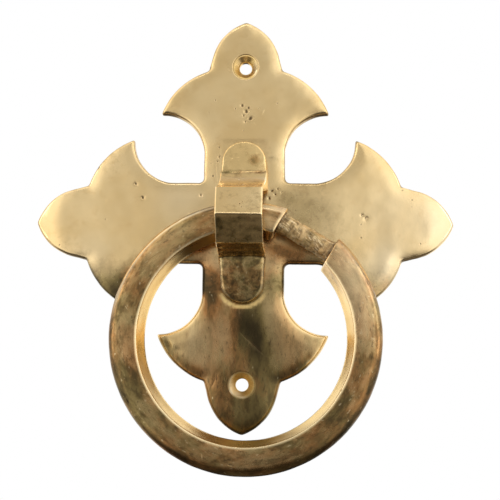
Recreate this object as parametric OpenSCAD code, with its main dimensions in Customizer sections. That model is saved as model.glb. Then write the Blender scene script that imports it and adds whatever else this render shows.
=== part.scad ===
// Ring door knocker: a flared cross backplate, a bracket screwed to it from behind,
// and a ring that hangs through the eye between the bracket and the plate.
// The back of the plate lies on the door in the XZ plane, +Z is up, and the knocker
// stands off towards -Y. The origin is the middle of the cross, on the back face.

/* [Backplate] */
// Distance from the middle of the cross to the tip of each arm
arm_reach = 70; // [68:0.5:74]
// Half the width of an arm where it leaves the middle
arm_half = 13.6; // [13:0.1:14.4]
// Distance from the middle to the side points of each arm
barb_reach = 37.4; // [36.6:0.2:38.6]
// Half the distance between the two side points of one arm
barb_half = 28.4; // [27.6:0.2:29.2]
// Distance from the middle to the notch below each tip
notch_reach = 52.6; // [52:0.2:53.6]
// Half the width of an arm at the notch
notch_half = 12.6; // [12:0.1:13]
// Thickness of the plate
plate_t = 4; // [3.6:0.1:6]
// Distance between the two fixing holes
hole_spacing = 107.5; // [105:0.5:109]
// Diameter of the fixing holes, for a No. 8 wood screw
hole_d = 4.2; // [3.6:0.1:4.6]
// Diameter of the countersinks
countersink_d = 8.8; // [7.8:0.1:9.4]

/* [Bracket] */
// Width of the bracket
bracket_w = 14.8; // [14:0.2:15.2]
// Height of the ridge along the loop's nose, above the plate
nose_h = 21; // [20.4:0.2:24]
// Thickness of the loop
loop_t = 2; // [1.6:0.1:2]
// Thickness of the two feet
foot_t = 3.4; // [3.3:0.1:4]
// Distance from the middle of the cross to the end of each foot
foot_end = 27.2; // [26.6:0.2:29]
// Sideways position of the loop
loop_x = -1.2; // [-1.4:0.1:0]

/* [Ring] */
// Outer diameter of the ring
ring_od = 88.2; // [87.4:0.2:89]
// Width of the ring's section, from its outer to its inner edge
section_w = 11.3; // [10.5:0.1:11.3]
// Depth of the ring's section, from front to back
section_d = 8; // [7.6:0.1:8]
// How much further out the front inner edge stands than the back one
inner_bevel = 2; // [1.4:0.1:2.6]
// Diameter of the round neck
neck_d = 6.4; // [5.4:0.1:7]
// Distance between the two shoulders of the neck
neck_l = 19; // [17:0.5:20]
// Angle from the top of the ring to the middle of the neck, clockwise from the front
neck_angle = 30.5; // [28:0.5:330]
// Sideways position of the ring
ring_x = 1.3; // [-1.4:0.1:1.4]

/* [Screws] */
// Distance from the middle of the cross to each bracket screw
screw_reach = 19; // [18.6:0.1:19.4]
// Thread diameter
screw_d = 4; // [3:0.5:4]
// Overall length, head included
screw_l = 6.4; // [6:0.1:6.6]

/* [Hidden] */

$fn = 96;
arc_steps = 10;              // straight steps along each curved stretch of an outline
through = 1;                 // how far a cutter runs past the face that it cuts

inner_fillet = 1.7;          // radius in the four inner corners of the cross
flare_start = 24.6;          // where the straight side of an arm ends
flare_sag = 3.8;             // depth of the hollow between straight side and side point
shoulder_sag = 2.6;          // bulge of the edge between side point and notch
lobe_root = [58, 11.2];      // where the round end of an arm starts
lobe_sag = 2.1;              // bulge of the edge between there and the tip

upper_leg = [13.2, 9.6];     // height of the upper leg's outer face, at plate and knee
lower_leg = [-12.3, -9];     // height of the lower leg's outer face, at plate and knee
knee_h = 14;                 // how far both knees stand above the plate
nose_z = -0.4;               // height of the ridge
upper_foot_x = 0.4;          // sideways position of the upper foot
lower_foot_x = -0.6;         // sideways position of the lower foot
foot_sag = 5.6;              // bulge of the rounded end of a foot
tap_depth = 2.8;             // depth of the threaded holes in the feet
thread_bite = 0.05;          // how far the thread bites into the wall of its hole

axis_z = -1.25;              // height of the swing axis
axis_h = 7.3;                // distance from the swing axis to the front of the plate
axis_to_inner_edge = 4.6;    // distance from the swing axis to the ring's inner edge
outer_round = 3.2;           // radius along both outer edges of the ring
inner_round = 2;             // radius along its inner back edge
neck_reach = 38;             // distance from the ring's centre to the neck's own axis

head_d = 1.85 * screw_d;     // head of a slotted countersunk machine screw
head_play = 0.1;             // gap all round the head in its countersink
clearance_d = screw_d + 0.3;
slot_w = 1.1;
slot_depth = 0.9;

ring_r = ring_od / 2;
ring_inner_r = ring_r - section_w;
ring_centre_z = axis_z - ring_inner_r - axis_to_inner_edge;

brass = "#cdb074";
aged_brass = "#9c7f4e";
steel = "#9d9d98";

function unit(v) = v / norm(v);
function left_of(v) = [-v.y, v.x];

// Points of the arc from a to b, without b. It bulges by sag to the right of the way
// from a to b, or to the left where sag is negative.
function arc_points(a, b, sag) =
    let (half = norm(b - a) / 2,
         right = -left_of(unit(b - a)),
         r = (half * half + sag * sag) / (2 * sag),
         centre = (a + b) / 2 + right * (sag - r),
         start = a - centre,
         first = atan2(start.y, start.x),
         turn = sign(sag) * 2 * asin(half / abs(r)))
    [for (i = [0 : arc_steps - 1])
        centre + abs(r) * [cos(first + turn * i / arc_steps), sin(first + turn * i / arc_steps)]];

// The corner at b of a band of thickness t, on the left of the way a, b, c
function inset_corner(a, b, c, t) =
    let (n1 = left_of(unit(b - a)), n2 = left_of(unit(c - b)))
    b + t * (n1 + n2) / (1 + n1 * n2);

// The same points in the opposite order, with the two directions swapped
function across_diagonal(points) =
    [for (i = [len(points) - 1 : -1 : 0]) [points[i].y, points[i].x]];

function quarter_turns(points, n) =
    [for (p = points) [p.x * cos(90 * n) - p.y * sin(90 * n), p.x * sin(90 * n) + p.y * cos(90 * n)]];

// Turns a piece drawn flat, its front upwards, so that it stands on the door
module on_door() {
    rotate([90, 0, 0]) children();
}

module at_bracket_screws(which = [1, -1]) {
    for (side = which) translate([side > 0 ? upper_foot_x : lower_foot_x, side * screw_reach, 0])
        children();
}

// Backplate -------------------------------------------------------------------------

// Upper edge of the arm along +X, from just after its tip to the inner corner
function arm_edge() =
    let (notch = [notch_reach, notch_half], barb = [barb_reach, barb_half])
    concat(
        [for (i = [1 : arc_steps - 1]) arc_points([arm_reach, 0], lobe_root, lobe_sag)[i]],
        [lobe_root],
        arc_points(notch, barb, shoulder_sag),
        arc_points(barb, [flare_start, arm_half], -flare_sag),
        [[flare_start, arm_half]]);

function corner_edge() =
    let (c = arm_half + inner_fillet)
    concat(arc_points([c, arm_half], [arm_half, c], -inner_fillet * (1 - cos(45))),
        [[arm_half, c]]);

function cross_outline() =
    let (quarter = concat([[arm_reach, 0]], arm_edge(), corner_edge(), across_diagonal(arm_edge())))
    [for (n = [0 : 3]) each quarter_turns(quarter, n)];

module countersunk_hole() {
    sink_h = (countersink_d - hole_d) / 2;
    translate([0, 0, -through]) cylinder(d = hole_d, h = plate_t + 2 * through);
    translate([0, 0, plate_t - sink_h])
        cylinder(d1 = hole_d, d2 = countersink_d + 2 * through, h = sink_h + through);
}

module bracket_screw_hole() {
    sink_d = head_d + 2 * head_play;
    sink_h = (sink_d - clearance_d) / 2;
    translate([0, 0, -through]) cylinder(d = clearance_d, h = plate_t + 2 * through);
    translate([0, 0, -through])
        cylinder(d1 = sink_d + 2 * through, d2 = clearance_d, h = sink_h + through);
}

module backplate() {
    color(brass) on_door() difference() {
        linear_extrude(plate_t) polygon(cross_outline());
        for (side = [1, -1]) translate([0, side * hole_spacing / 2, 0]) countersunk_hole();
        at_bracket_screws() bracket_screw_hole();
    }
}

// Bracket ---------------------------------------------------------------------------

// Side view of the loop, as [height, distance from the plate]. The legs run on for one
// through below the plate's front, where they are cut off flush.
module loop_profile() {
    upper_slope = (upper_leg[0] - upper_leg[1]) / knee_h;
    lower_slope = (lower_leg[0] - lower_leg[1]) / knee_h;
    outer = [
        [upper_leg[0] + upper_slope * through, -through],
        [upper_leg[1], knee_h],
        [nose_z, nose_h],
        [lower_leg[1], knee_h],
        [lower_leg[0] + lower_slope * through, -through]];
    inner = [for (i = [3 : -1 : 1]) inset_corner(outer[i - 1], outer[i], outer[i + 1], loop_t)];
    upper_t = loop_t / cos(atan(upper_slope));
    lower_t = loop_t / cos(atan(lower_slope));
    polygon(concat(outer, [outer[4] + [lower_t, 0]], inner, [outer[0] - [upper_t, 0]]));
}

module foot(near, end) {
    side = sign(end);
    straight_end = end - side * foot_sag;
    mirror([0, side < 0 ? 1 : 0, 0]) linear_extrude(foot_t) polygon(concat(
        [[-bracket_w / 2, abs(near)], [bracket_w / 2, abs(near)]],
        arc_points([bracket_w / 2, abs(straight_end)], [-bracket_w / 2, abs(straight_end)], foot_sag),
        [[-bracket_w / 2, abs(straight_end)]]));
}

module bracket() {
    color(brass) on_door() translate([0, 0, plate_t]) difference() {
        union() {
            translate([loop_x - bracket_w / 2, 0, 0]) rotate([90, 0, 90])
                linear_extrude(bracket_w) loop_profile();
            translate([upper_foot_x, 0, 0]) foot(upper_leg[0] - loop_t, foot_end);
            translate([lower_foot_x, 0, 0]) foot(lower_leg[0] + loop_t, -foot_end);
        }
        translate([-bracket_w, -foot_end, -2 * through])
            cube([2 * bracket_w, 2 * foot_end, 2 * through]);
        at_bracket_screws() translate([0, 0, -through])
            cylinder(d = screw_d - 2 * thread_bite, h = tap_depth + through);
    }
}

// Ring ------------------------------------------------------------------------------

// Section of the ring, as [distance from the centre, height above the middle plane]
module ring_section() {
    half = section_d / 2;
    drop = 1 - cos(45);
    polygon(concat(
        [[ring_inner_r + inner_bevel, half]],
        [[ring_inner_r, inner_round - half]],
        arc_points([ring_inner_r, inner_round - half], [ring_inner_r + inner_round, -half],
            inner_round * drop),
        arc_points([ring_r - outer_round, -half], [ring_r, outer_round - half], outer_round * drop),
        arc_points([ring_r, half - outer_round], [ring_r - outer_round, half], outer_round * drop),
        [[ring_r - outer_round, half]]));
}

module ring() {
    color(aged_brass) on_door()
        translate([ring_x, ring_centre_z, plate_t + axis_h]) rotate([0, 0, -neck_angle]) {
            difference() {
                rotate_extrude($fn = 144) ring_section();
                translate([-neck_l / 2, ring_inner_r / 2, -section_d])
                    cube([neck_l, ring_r, 2 * section_d]);
            }
            translate([-neck_l / 2 - through, neck_reach, 0]) rotate([0, 90, 0])
                cylinder(d = neck_d, h = neck_l + 2 * through);
        }
}

// Screws ----------------------------------------------------------------------------

// Slotted countersunk screw, its head flush with the back of the plate
module bracket_screw() {
    head_h = (head_d - screw_d) / 2;
    difference() {
        union() {
            cylinder(d1 = head_d, d2 = screw_d, h = head_h);
            cylinder(d = screw_d, h = screw_l);
        }
        translate([-head_d, -slot_w / 2, -through]) cube([2 * head_d, slot_w, slot_depth + through]);
    }
}

module bracket_screw_top() {
    color(steel) on_door() at_bracket_screws([1]) bracket_screw();
}

module bracket_screw_bottom() {
    color(steel) on_door() at_bracket_screws([-1]) bracket_screw();
}

backplate();
bracket();
ring();
bracket_screw_top();
bracket_screw_bottom();
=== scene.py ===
import math

import bmesh
import bpy
import numpy as np
from mathutils import Matrix, Vector, geometry, kdtree, noise


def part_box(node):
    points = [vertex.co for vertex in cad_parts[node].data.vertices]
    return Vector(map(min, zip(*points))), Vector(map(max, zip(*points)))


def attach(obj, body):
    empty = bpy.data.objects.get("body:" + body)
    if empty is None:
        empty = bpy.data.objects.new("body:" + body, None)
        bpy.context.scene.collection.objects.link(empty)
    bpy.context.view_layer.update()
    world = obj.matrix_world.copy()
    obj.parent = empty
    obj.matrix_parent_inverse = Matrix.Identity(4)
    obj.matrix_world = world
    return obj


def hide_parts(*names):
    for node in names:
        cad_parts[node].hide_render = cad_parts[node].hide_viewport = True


# Shapes are worked out in millimetres, as (x, z, height above the front of the plate).
# The front of the object faces -Y.
MM = 0.001

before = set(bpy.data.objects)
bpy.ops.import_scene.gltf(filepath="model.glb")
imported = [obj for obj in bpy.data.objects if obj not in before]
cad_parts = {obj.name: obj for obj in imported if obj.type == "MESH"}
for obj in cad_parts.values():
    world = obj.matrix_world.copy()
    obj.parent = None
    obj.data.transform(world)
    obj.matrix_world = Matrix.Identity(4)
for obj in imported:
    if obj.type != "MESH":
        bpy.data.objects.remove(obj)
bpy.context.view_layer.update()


def box_mm(node):
    """The lowest and highest corner of a CAD node, in millimetres."""
    return [np.array(corner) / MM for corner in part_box(node)]


PLATE_LOW, PLATE_HIGH = box_mm("backplate")
RING_LOW, RING_HIGH = box_mm("ring")
PLATE_T = -PLATE_LOW[1]
ARM_REACH = PLATE_HIGH[0]

# Backplate
ARM_HALF = 13.6
INNER_FILLET = 1.7
FLARE_START = 24.6
FLARE_SAG = 3.8
BARB = (37.4, 28.4)
SHOULDER_SAG = 2.6
NOTCH = (52.6, 12.6)
LOBE_ROOT = (58, 11.2)
LOBE_SAG = 2.1
HOLE_AT = 53.75
HOLE_R = 2.1
COUNTERSINK_R = 4.4

# Bracket
BRACKET_HALF = 7.6
UPPER_LEG = (13.2, 9.6)
LOWER_LEG = (-12.3, -9)
KNEE_H = 14
NOSE = (-0.4, 21)
LOOP_T = 2
LOOP_X = -0.9
FOOT_T = 3.4
FOOT_END = 27.2
FOOT_SAG = 5.6
FOOT_TAPER = 0.7
FOOT_X = {1: 0.4, -1: -0.6}
BRACKET_TURN = math.radians(1.18)
GROOVE_AT = (-0.2, -19.6)
GROOVE_R = 8.5
SCREW_AT = 19
SCREW_R = 2
SCREW_HEAD_R = 3.7
SCREW_L = 6.4
TAP_DEPTH = 2.8

# Ring
RING_OUTER = (RING_HIGH[0] - RING_LOW[0]) / 2
RING_INNER = RING_OUTER - 11.3
RING_HALF_D = 4
RING_CENTRE = np.array([(RING_LOW[0] + RING_HIGH[0]) / 2, RING_LOW[2] + RING_OUTER])
RING_AXIS_H = 7.3
INNER_BEVEL = 2
OUTER_ROUND = 3.2
INNER_ROUND = 2
NECK_ANGLE = math.radians(30.5)
NECK_HALF = 9.5
NECK_REACH = 38
NECK_R = 3.2


# --- Flat outlines


def arc(a, b, sag, steps=24):
    """Points from a to b, without b, on an arc that bulges by sag to the right."""
    a, b = np.array(a, float), np.array(b, float)
    half = np.linalg.norm(b - a) / 2
    way = (b - a) / (2 * half)
    right = np.array([way[1], -way[0]])
    radius = (half**2 + sag**2) / (2 * sag)
    centre = (a + b) / 2 + right * (sag - radius)
    first = math.atan2(a[1] - centre[1], a[0] - centre[0])
    turn = math.copysign(2 * math.asin(half / abs(radius)), sag)
    angles = first + turn * np.arange(steps) / steps
    return centre + abs(radius) * np.column_stack([np.cos(angles), np.sin(angles)])


def circle(centre, radius, steps):
    angles = 2 * math.pi * np.arange(steps) / steps
    return np.array(centre) + radius * np.column_stack([np.cos(angles), np.sin(angles)])


def even_points(points, spacing, closed=True):
    """The same line with points at an even spacing."""
    line = np.vstack([points, points[:1]]) if closed else np.array(points)
    run = np.concatenate([[0], np.cumsum(np.linalg.norm(np.diff(line, axis=0), axis=1))])
    count = max(3, int(round(run[-1] / spacing)))
    at = np.linspace(0, run[-1], count, endpoint=not closed)
    return np.column_stack([np.interp(at, run, line[:, k]) for k in range(line.shape[1])])


def softened(points, passes):
    """A closed line with its corners slightly rounded."""
    for _ in range(passes):
        points = points / 2 + (np.roll(points, 1, 0) + np.roll(points, -1, 0)) / 4
    return points


def inward(points):
    """Unit vectors that point into a closed line that runs anticlockwise."""
    way = np.roll(points, -2, 0) - np.roll(points, 2, 0)
    way /= np.linalg.norm(way, axis=1)[:, None]
    return np.column_stack([-way[:, 1], way[:, 0]])


def inside(points, line):
    """Which points lie inside a closed line."""
    x, z = points[:, :1], points[:, 1:]
    ax, az = line.T
    bx, bz = np.roll(line, -1, 0).T
    spans = (az > z) != (bz > z)
    crossing = ax + (z - az) * (bx - ax) / np.where(bz == az, 1e-9, bz - az)
    return (spans & (x < crossing)).sum(1) % 2 == 1


def distance_to(points, line):
    """Distance from each point to a closed line of closely spaced points."""
    tree = kdtree.KDTree(len(line))
    for i, p in enumerate(line):
        tree.insert((p[0], p[1], 0), i)
    tree.balance()
    nearest = np.array([tree.find((p[0], p[1], 0))[1] for p in points])
    best = np.full(len(points), 1e9)
    for step in (-1, 1):
        a = line[nearest]
        ab = line[(nearest + step) % len(line)] - a
        t = np.clip(((points - a) * ab).sum(1) / (ab * ab).sum(1), 0, 1)
        best = np.minimum(best, np.linalg.norm(points - a - t[:, None] * ab, axis=1))
    return best


def cross_outline():
    tip, corner = (ARM_REACH, 0), ARM_HALF + INNER_FILLET
    arm = np.vstack([
        arc(tip, LOBE_ROOT, LOBE_SAG),
        [LOBE_ROOT],
        arc(NOTCH, BARB, SHOULDER_SAG),
        arc(BARB, (FLARE_START, ARM_HALF), -FLARE_SAG),
        [(FLARE_START, ARM_HALF)]])
    fillet_sag = -INNER_FILLET * (1 - math.cos(math.pi / 4))
    quarter = np.vstack([
        arm,
        arc((corner, ARM_HALF), (ARM_HALF, corner), fillet_sag, 6),
        [(ARM_HALF, corner)],
        arm[:0:-1, ::-1]])
    turns = [quarter, quarter[:, ::-1] * (-1, 1), -quarter, quarter[:, ::-1] * (1, -1)]
    return np.vstack(turns)


# --- Surface noise and small marks


def wave(points, size, seed=0.0, octaves=2):
    """Smooth noise from about -1 to 1 with features of that size, the same each run."""
    return np.array([
        noise.fractal((x / size + seed, z / size - seed, sum(rest) / size + seed), 1.0, 2.0, octaves)
        for x, z, *rest in points])


def rounded(distance, radius):
    """How far a surface drops at that distance from an edge rounded to radius."""
    t = np.clip(1 - distance / radius, 0, 1)
    return radius * (1 - np.sqrt(1 - t * t))


def smooth(t):
    t = np.clip(t, 0, 1)
    return t * t * (3 - 2 * t)


def close_to(points, line, width):
    """1 on a line of (x, z) points, falling to 0 outside its width."""
    line = even_points(line, 0.3, closed=False)
    gap = np.min([np.hypot(points[:, 0] - p[0], points[:, 1] - p[1]) for p in line], axis=0)
    return np.exp(-(gap / width) ** 2)


def blob(points, x, z, across, along, turn=0.0):
    """1 at the middle of a soft oval patch, falling to 0 outside it."""
    c, s = math.cos(math.radians(turn)), math.sin(math.radians(turn))
    dx, dz = points[:, 0] - x, points[:, 1] - z
    u, v = (dx * c + dz * s) / across, (dz * c - dx * s) / along
    return np.exp(-(u * u + v * v))


def patches(points, *rows):
    """The sum of soft oval patches, each given as (amount, x, z, across, along, turn)."""
    return sum(amount * blob(points, *place) for amount, *place in rows)


# --- Mesh helpers


def to_world(points):
    """(x, z, height) in millimetres to Blender's metres."""
    p = np.asarray(points, float)
    return np.column_stack([p[:, 0], -(PLATE_T + p[:, 2]), p[:, 1]]) * MM


def add_to_scene(name, data):
    obj = bpy.data.objects.new(name, data)
    bpy.context.scene.collection.objects.link(obj)
    return obj


def make_object(name, points, faces):
    mesh = bpy.data.meshes.new(name)
    mesh.from_pydata(to_world(points).tolist(), [], faces)
    mesh.update()
    return add_to_scene(name, mesh)


def join_rows(first, second, closed=True):
    """Quads between two rows of vertex numbers of the same length."""
    count = len(first) if closed else len(first) - 1
    nxt = [(i + 1) % len(first) for i in range(len(first))]
    return [(first[i], first[nxt[i]], second[nxt[i]], second[i]) for i in range(count)]


def skin(rows, flip=False):
    """Faces of a closed tube: quads between all rows, and a cap at both ends."""
    faces = []
    for first, second in zip(rows, rows[1:]):
        faces += join_rows(first, second)
    step = -1 if flip else 1
    return faces + [tuple(rows[0][::-step]), tuple(rows[-1][::step])]


def boolean(obj, other, operation):
    """Applies an exact boolean to obj and removes the other object."""
    modifier = obj.modifiers.new("cut", "BOOLEAN")
    modifier.operation = operation
    modifier.solver = "EXACT"
    modifier.object = other
    graph = bpy.context.evaluated_depsgraph_get()
    made = bpy.data.meshes.new_from_object(obj.evaluated_get(graph))
    obj.modifiers.clear()
    old = obj.data
    obj.data = made
    bpy.data.meshes.remove(old)
    bpy.data.objects.remove(other)


def get_points(obj):
    """The vertices as (x, z, height) in millimetres."""
    co = np.zeros(len(obj.data.vertices) * 3)
    obj.data.vertices.foreach_get("co", co)
    co = co.reshape(-1, 3) / MM
    return np.column_stack([co[:, 0], co[:, 2], -co[:, 1] - PLATE_T])


def set_points(obj, points):
    obj.data.vertices.foreach_set("co", to_world(points).ravel())
    obj.data.update()


def add_values(obj, name, values):
    attribute = obj.data.attributes.new(name, "FLOAT", "POINT")
    attribute.data.foreach_set("value", np.asarray(values, np.float32))


def tidy_mesh(obj, angle=32):
    """Merges doubled points, turns all faces outwards and shades smooth up to the angle."""
    bm = bmesh.new()
    bm.from_mesh(obj.data)
    bmesh.ops.remove_doubles(bm, verts=bm.verts, dist=2e-6)
    bmesh.ops.dissolve_degenerate(bm, edges=bm.edges, dist=1e-6)
    bmesh.ops.recalc_face_normals(bm, faces=bm.faces)
    bm.to_mesh(obj.data)
    bm.free()
    obj.data.shade_smooth()
    obj.data.set_sharp_from_angle(angle=math.radians(angle))
    obj.data.update()
    return obj


def add_edge_values(obj, ridge_scale, groove_scale, spread=2):
    """Stores how far each vertex stands on an outer edge ("ridge") or in a corner ("groove")."""
    bm = bmesh.new()
    bm.from_mesh(obj.data)
    bm.normal_update()
    ridge, groove = np.zeros(len(bm.verts)), np.zeros(len(bm.verts))
    for e in bm.edges:
        bend = e.calc_face_angle_signed(0.0)
        for v in e.verts:
            ridge[v.index] = max(ridge[v.index], bend)
            groove[v.index] = max(groove[v.index], -bend)
    pairs = np.array([[v.index for v in e.verts] for e in bm.edges])
    bm.free()
    degree = np.bincount(pairs.ravel(), minlength=len(ridge)) + 1
    for values, name, scale in ((ridge, "ridge", ridge_scale), (groove, "groove", groove_scale)):
        values = np.clip(values / 0.5, 0, 1)
        for _ in range(spread):
            total = values.copy()
            np.add.at(total, pairs[:, 0], values[pairs[:, 1]])
            np.add.at(total, pairs[:, 1], values[pairs[:, 0]])
            values = total / degree
        add_values(obj, name, values * scale)


def relief(name, outline, grid, rim, front, back, rim_r, holes=(), extra=()):
    """A closed casting: a flat outline with a front and a back surface and a wall between.

    grid is the spacing of its points, rim the spacing next to the rounded edge of rim_r.

    front and back give a height for points and their distance to the outline. holes hold
    (centre, radius at the front, radius at the back, wall), where wall is a list of
    (share of the way from front to back radius, height). extra holds more points.
    """
    steps = len(outline)
    turn = np.linspace(0, math.pi / 2, 7)[1:]
    depths = np.concatenate([rim_r * (1 - np.cos(turn)), rim_r + rim * np.array([0.5, 1.2, 2.1, 3.2])])
    normal = inward(softened(outline, 3))
    loose = []
    for depth in depths:
        ring = outline + normal * depth
        ring = ring[distance_to(ring, outline) > 0.96 * depth]
        keep = []
        for p in ring:
            if not keep or np.linalg.norm(p - keep[-1]) > max(0.3 * rim, 0.55 * depth * 0.3):
                keep.append(p)
        loose.append(np.array(keep))
    low, high = outline.min(0), outline.max(0)
    lattice = np.array([
        (x + (grid / 2 if k % 2 else 0), z)
        for k, z in enumerate(np.arange(low[1], high[1], grid * 0.866))
        for x in np.arange(low[0], high[0], grid)])
    lattice = lattice[inside(lattice, outline)]
    lattice = lattice[distance_to(lattice, outline) > depths[-1] + 0.5 * rim]
    loose.append(lattice)
    loose += [np.array(e) for e in extra]
    loose = np.vstack(loose)
    loops = []
    for centre, front_r, rear_r, _wall in holes:
        radius = max(front_r, rear_r)
        clear = np.linalg.norm(loose - centre, axis=1) > radius + 1.1
        loose = loose[clear]
        loops.append(circle(centre, radius, 64))
        loose = np.vstack([loose, *[circle(centre, radius + gap, 64) for gap in (0.06, 0.16, 0.3, 0.6)]])
    flat = [outline, *loops]
    edges, count = [], 0
    for loop in flat:
        edges += [(count + i, count + (i + 1) % len(loop)) for i in range(len(loop))]
        count += len(loop)
    points = np.vstack([*flat, loose])
    made = geometry.delaunay_2d_cdt([Vector(p) for p in points], edges, [], 0, 1e-7)
    assert len(made[0]) == len(points), "outline points were merged"
    triangles = np.array([t for t in made[2] if len(t) == 3])
    middle = points[triangles].mean(1)
    keep = inside(middle, outline)
    for (centre, *_), loop in zip(holes, loops):
        keep &= np.linalg.norm(middle - centre, axis=1) > np.linalg.norm(loop[0] - centre) - 0.004
    triangles = triangles[keep]
    a, b, c = (points[triangles[:, k]] for k in range(3))
    area = (b[:, 0] - a[:, 0]) * (c[:, 1] - a[:, 1]) - (b[:, 1] - a[:, 1]) * (c[:, 0] - a[:, 0])
    triangles[area < 0] = triangles[area < 0][:, ::-1]
    triangles = triangles[np.abs(area) > 1e-9]
    count = len(points)
    distance = np.concatenate([np.zeros(steps), distance_to(points[steps:], outline)])
    plans = [points.copy(), points.copy()]
    start, rims = steps, []
    for (centre, front_r, rear_r, _wall), loop in zip(holes, loops):
        ids = np.arange(start, start + len(loop))
        unit = (loop - centre) / max(front_r, rear_r)
        plans[0][ids] = centre + unit * front_r
        plans[1][ids] = centre + unit * rear_r
        rims.append((ids, unit))
        start += len(loop)
    tops = front(plans[0], distance)
    bottoms = back(plans[1], distance)
    verts = [np.column_stack([plans[0], tops]), np.column_stack([plans[1], bottoms])]
    faces = [tuple(t) for t in triangles.tolist()]
    faces += [tuple(t[::-1] + count) for t in triangles]
    total = 2 * count

    def wall_rows(ids, rows_xyh):
        nonlocal total
        previous = list(ids)
        for row in rows_xyh:
            verts.append(row)
            current = list(range(total, total + len(row)))
            total += len(row)
            faces.extend(join_rows(current, previous))
            previous = current
        faces.extend(join_rows([i + count for i in ids], previous))

    rows = []
    for share in np.linspace(0, 1, 6)[1:-1]:
        bulge = 0.10 * math.sin(math.pi * share)
        height = tops[:steps] * (1 - share) + bottoms[:steps] * share
        rows.append(np.column_stack([outline - normal * bulge, height]))
    wall_rows(np.arange(steps), rows)
    for (centre, front_r, rear_r, wall), (ids, unit) in zip(holes, rims):
        wall_rows(ids, [
            np.column_stack([centre + unit * (front_r + (rear_r - front_r) * share),
                             np.full(len(unit), height)])
            for share, height in wall])
    return make_object(name, np.vstack(verts), faces)


# --- Backplate

# A dark band beside the ring on the left arm: a painted reflection of the ring
RING_REFLECTION_LEFT = np.array([(-36, -12), (-43, -24)])

# Pits, dents and scratches on the front: x, z, width, length, turn in degrees, depth
PLATE_MARKS = [
    (0.5, 38.0, 0.55, 0.5, 0, 0.40), (-0.9, 40.1, 0.40, 0.35, 0, 0.30), (1.9, 35.6, 0.6, 0.45, 30, 0.40),
    (1.2, 39.3, 0.35, 0.3, 0, 0.25), (-0.4, 36.6, 0.3, 0.3, 0, 0.22), (0.2, 34.4, 0.28, 0.28, 0, 0.18),
    (-34.0, 8.2, 0.45, 0.4, 0, 0.30), (-36.5, 12.9, 0.4, 0.35, 0, 0.25), (-14.4, 9.0, 0.4, 0.4, 0, 0.22),
    (40.6, 1.6, 0.4, 0.4, 0, 0.20), (39.3, 2.6, 0.3, 0.3, 0, 0.16), (-3.6, 53.3, 0.35, 0.35, 0, 0.3),
    (-24.3, -40.8, 0.8, 1.8, 20, 0.28), (-21.4, -42.8, 2.2, 1.1, -20, 0.14),
    (-49.7, 18.7, 0.6, 0.5, 0, 0.35), (-12.5, 53.7, 0.7, 0.6, 0, 0.4),
    (3.2, -40.2, 0.22, 4.0, 47, 0.16), (-0.8, -29.8, 0.2, 1.3, 0, 0.14),
    (-9.0, -52.5, 0.2, 2.4, -25, 0.10),
    (9.4, 10.7, 0.4, 0.25, 20, 0.20), (11.3, 11.3, 0.3, 0.25, 0, 0.16), (10.5, 9.5, 0.3, 0.25, -20, 0.18),
    (12.6, 10.2, 0.25, 0.25, 0, 0.12), (8.4, 8.2, 0.3, 0.4, 0, 0.18), (8.7, 21.6, 1.4, 0.5, 5, 0.10),
    (-8.5, 22.2, 0.3, 0.5, 0, 0.16), (-9.0, 20.6, 0.25, 0.25, 0, 0.14), (-9.4, 15.0, 0.25, 6.0, 4, 0.05),
]


def plate_front(points, distance):
    x, z = points.T
    out = np.maximum(abs(x), abs(z))
    soft = 0.42 + 0.30 * smooth((-z - 4) / 14) + 0.12 * wave(points, 20, 2.2, 1)
    rim = rounded(distance, 0.9) + soft * np.clip(1 - distance / 5.0, 0, 1) ** 2
    sideways = smooth((abs(x) - 40) / 10)
    tip = (0.15 + 0.60 * sideways) * smooth((out - 61) / 12) + 0.35 * sideways * smooth((out - 64.5) / 4)
    tip += 0.12 * smooth((28.6 - z) / 1.2) * smooth((z - 14) / 4) * smooth((9 - abs(x)) / 2)
    end = np.hypot(x - GROOVE_AT[0], z - GROOVE_AT[1])
    tip += 0.20 * smooth((GROOVE_R + 0.8 - end) / 1.4) * smooth((-z - 24) / 2)
    slope = 0.020 * np.clip(out - 30, 0, None)
    dish = 0.10 * wave(points, 16, 3.1) + 0.035 * wave(points, 5, 7.7)
    quiet = smooth((np.maximum(abs(x) - 7.5, abs(z) - 27.5) - 0.6) / 6)
    height = -rim - tip - slope + dish * quiet
    for centre in (HOLE_AT, -HOLE_AT):
        edge = np.hypot(x, z - centre) - COUNTERSINK_R
        height -= rounded(np.clip(edge, 0, None), 0.22)
    for mx, mz, across, along, turn, depth in PLATE_MARKS:
        height -= depth * blob(points, mx, mz, across, along, turn)
    return height


def plate_back(points, distance):
    return -PLATE_T + rounded(distance, 0.35)


def scratch_points(x, z, across, along, turn):
    """Points along a thin scratch, in rows, so that the mesh can follow it."""
    c, s = math.cos(math.radians(turn)), math.sin(math.radians(turn))
    beside, length = across * np.array([-2, -1, 0, 1, 2]), np.arange(-1.5 * along, 1.5 * along, 0.4)
    return [(x + u * c - v * s, z + u * s + v * c) for u in beside for v in length]


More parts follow.
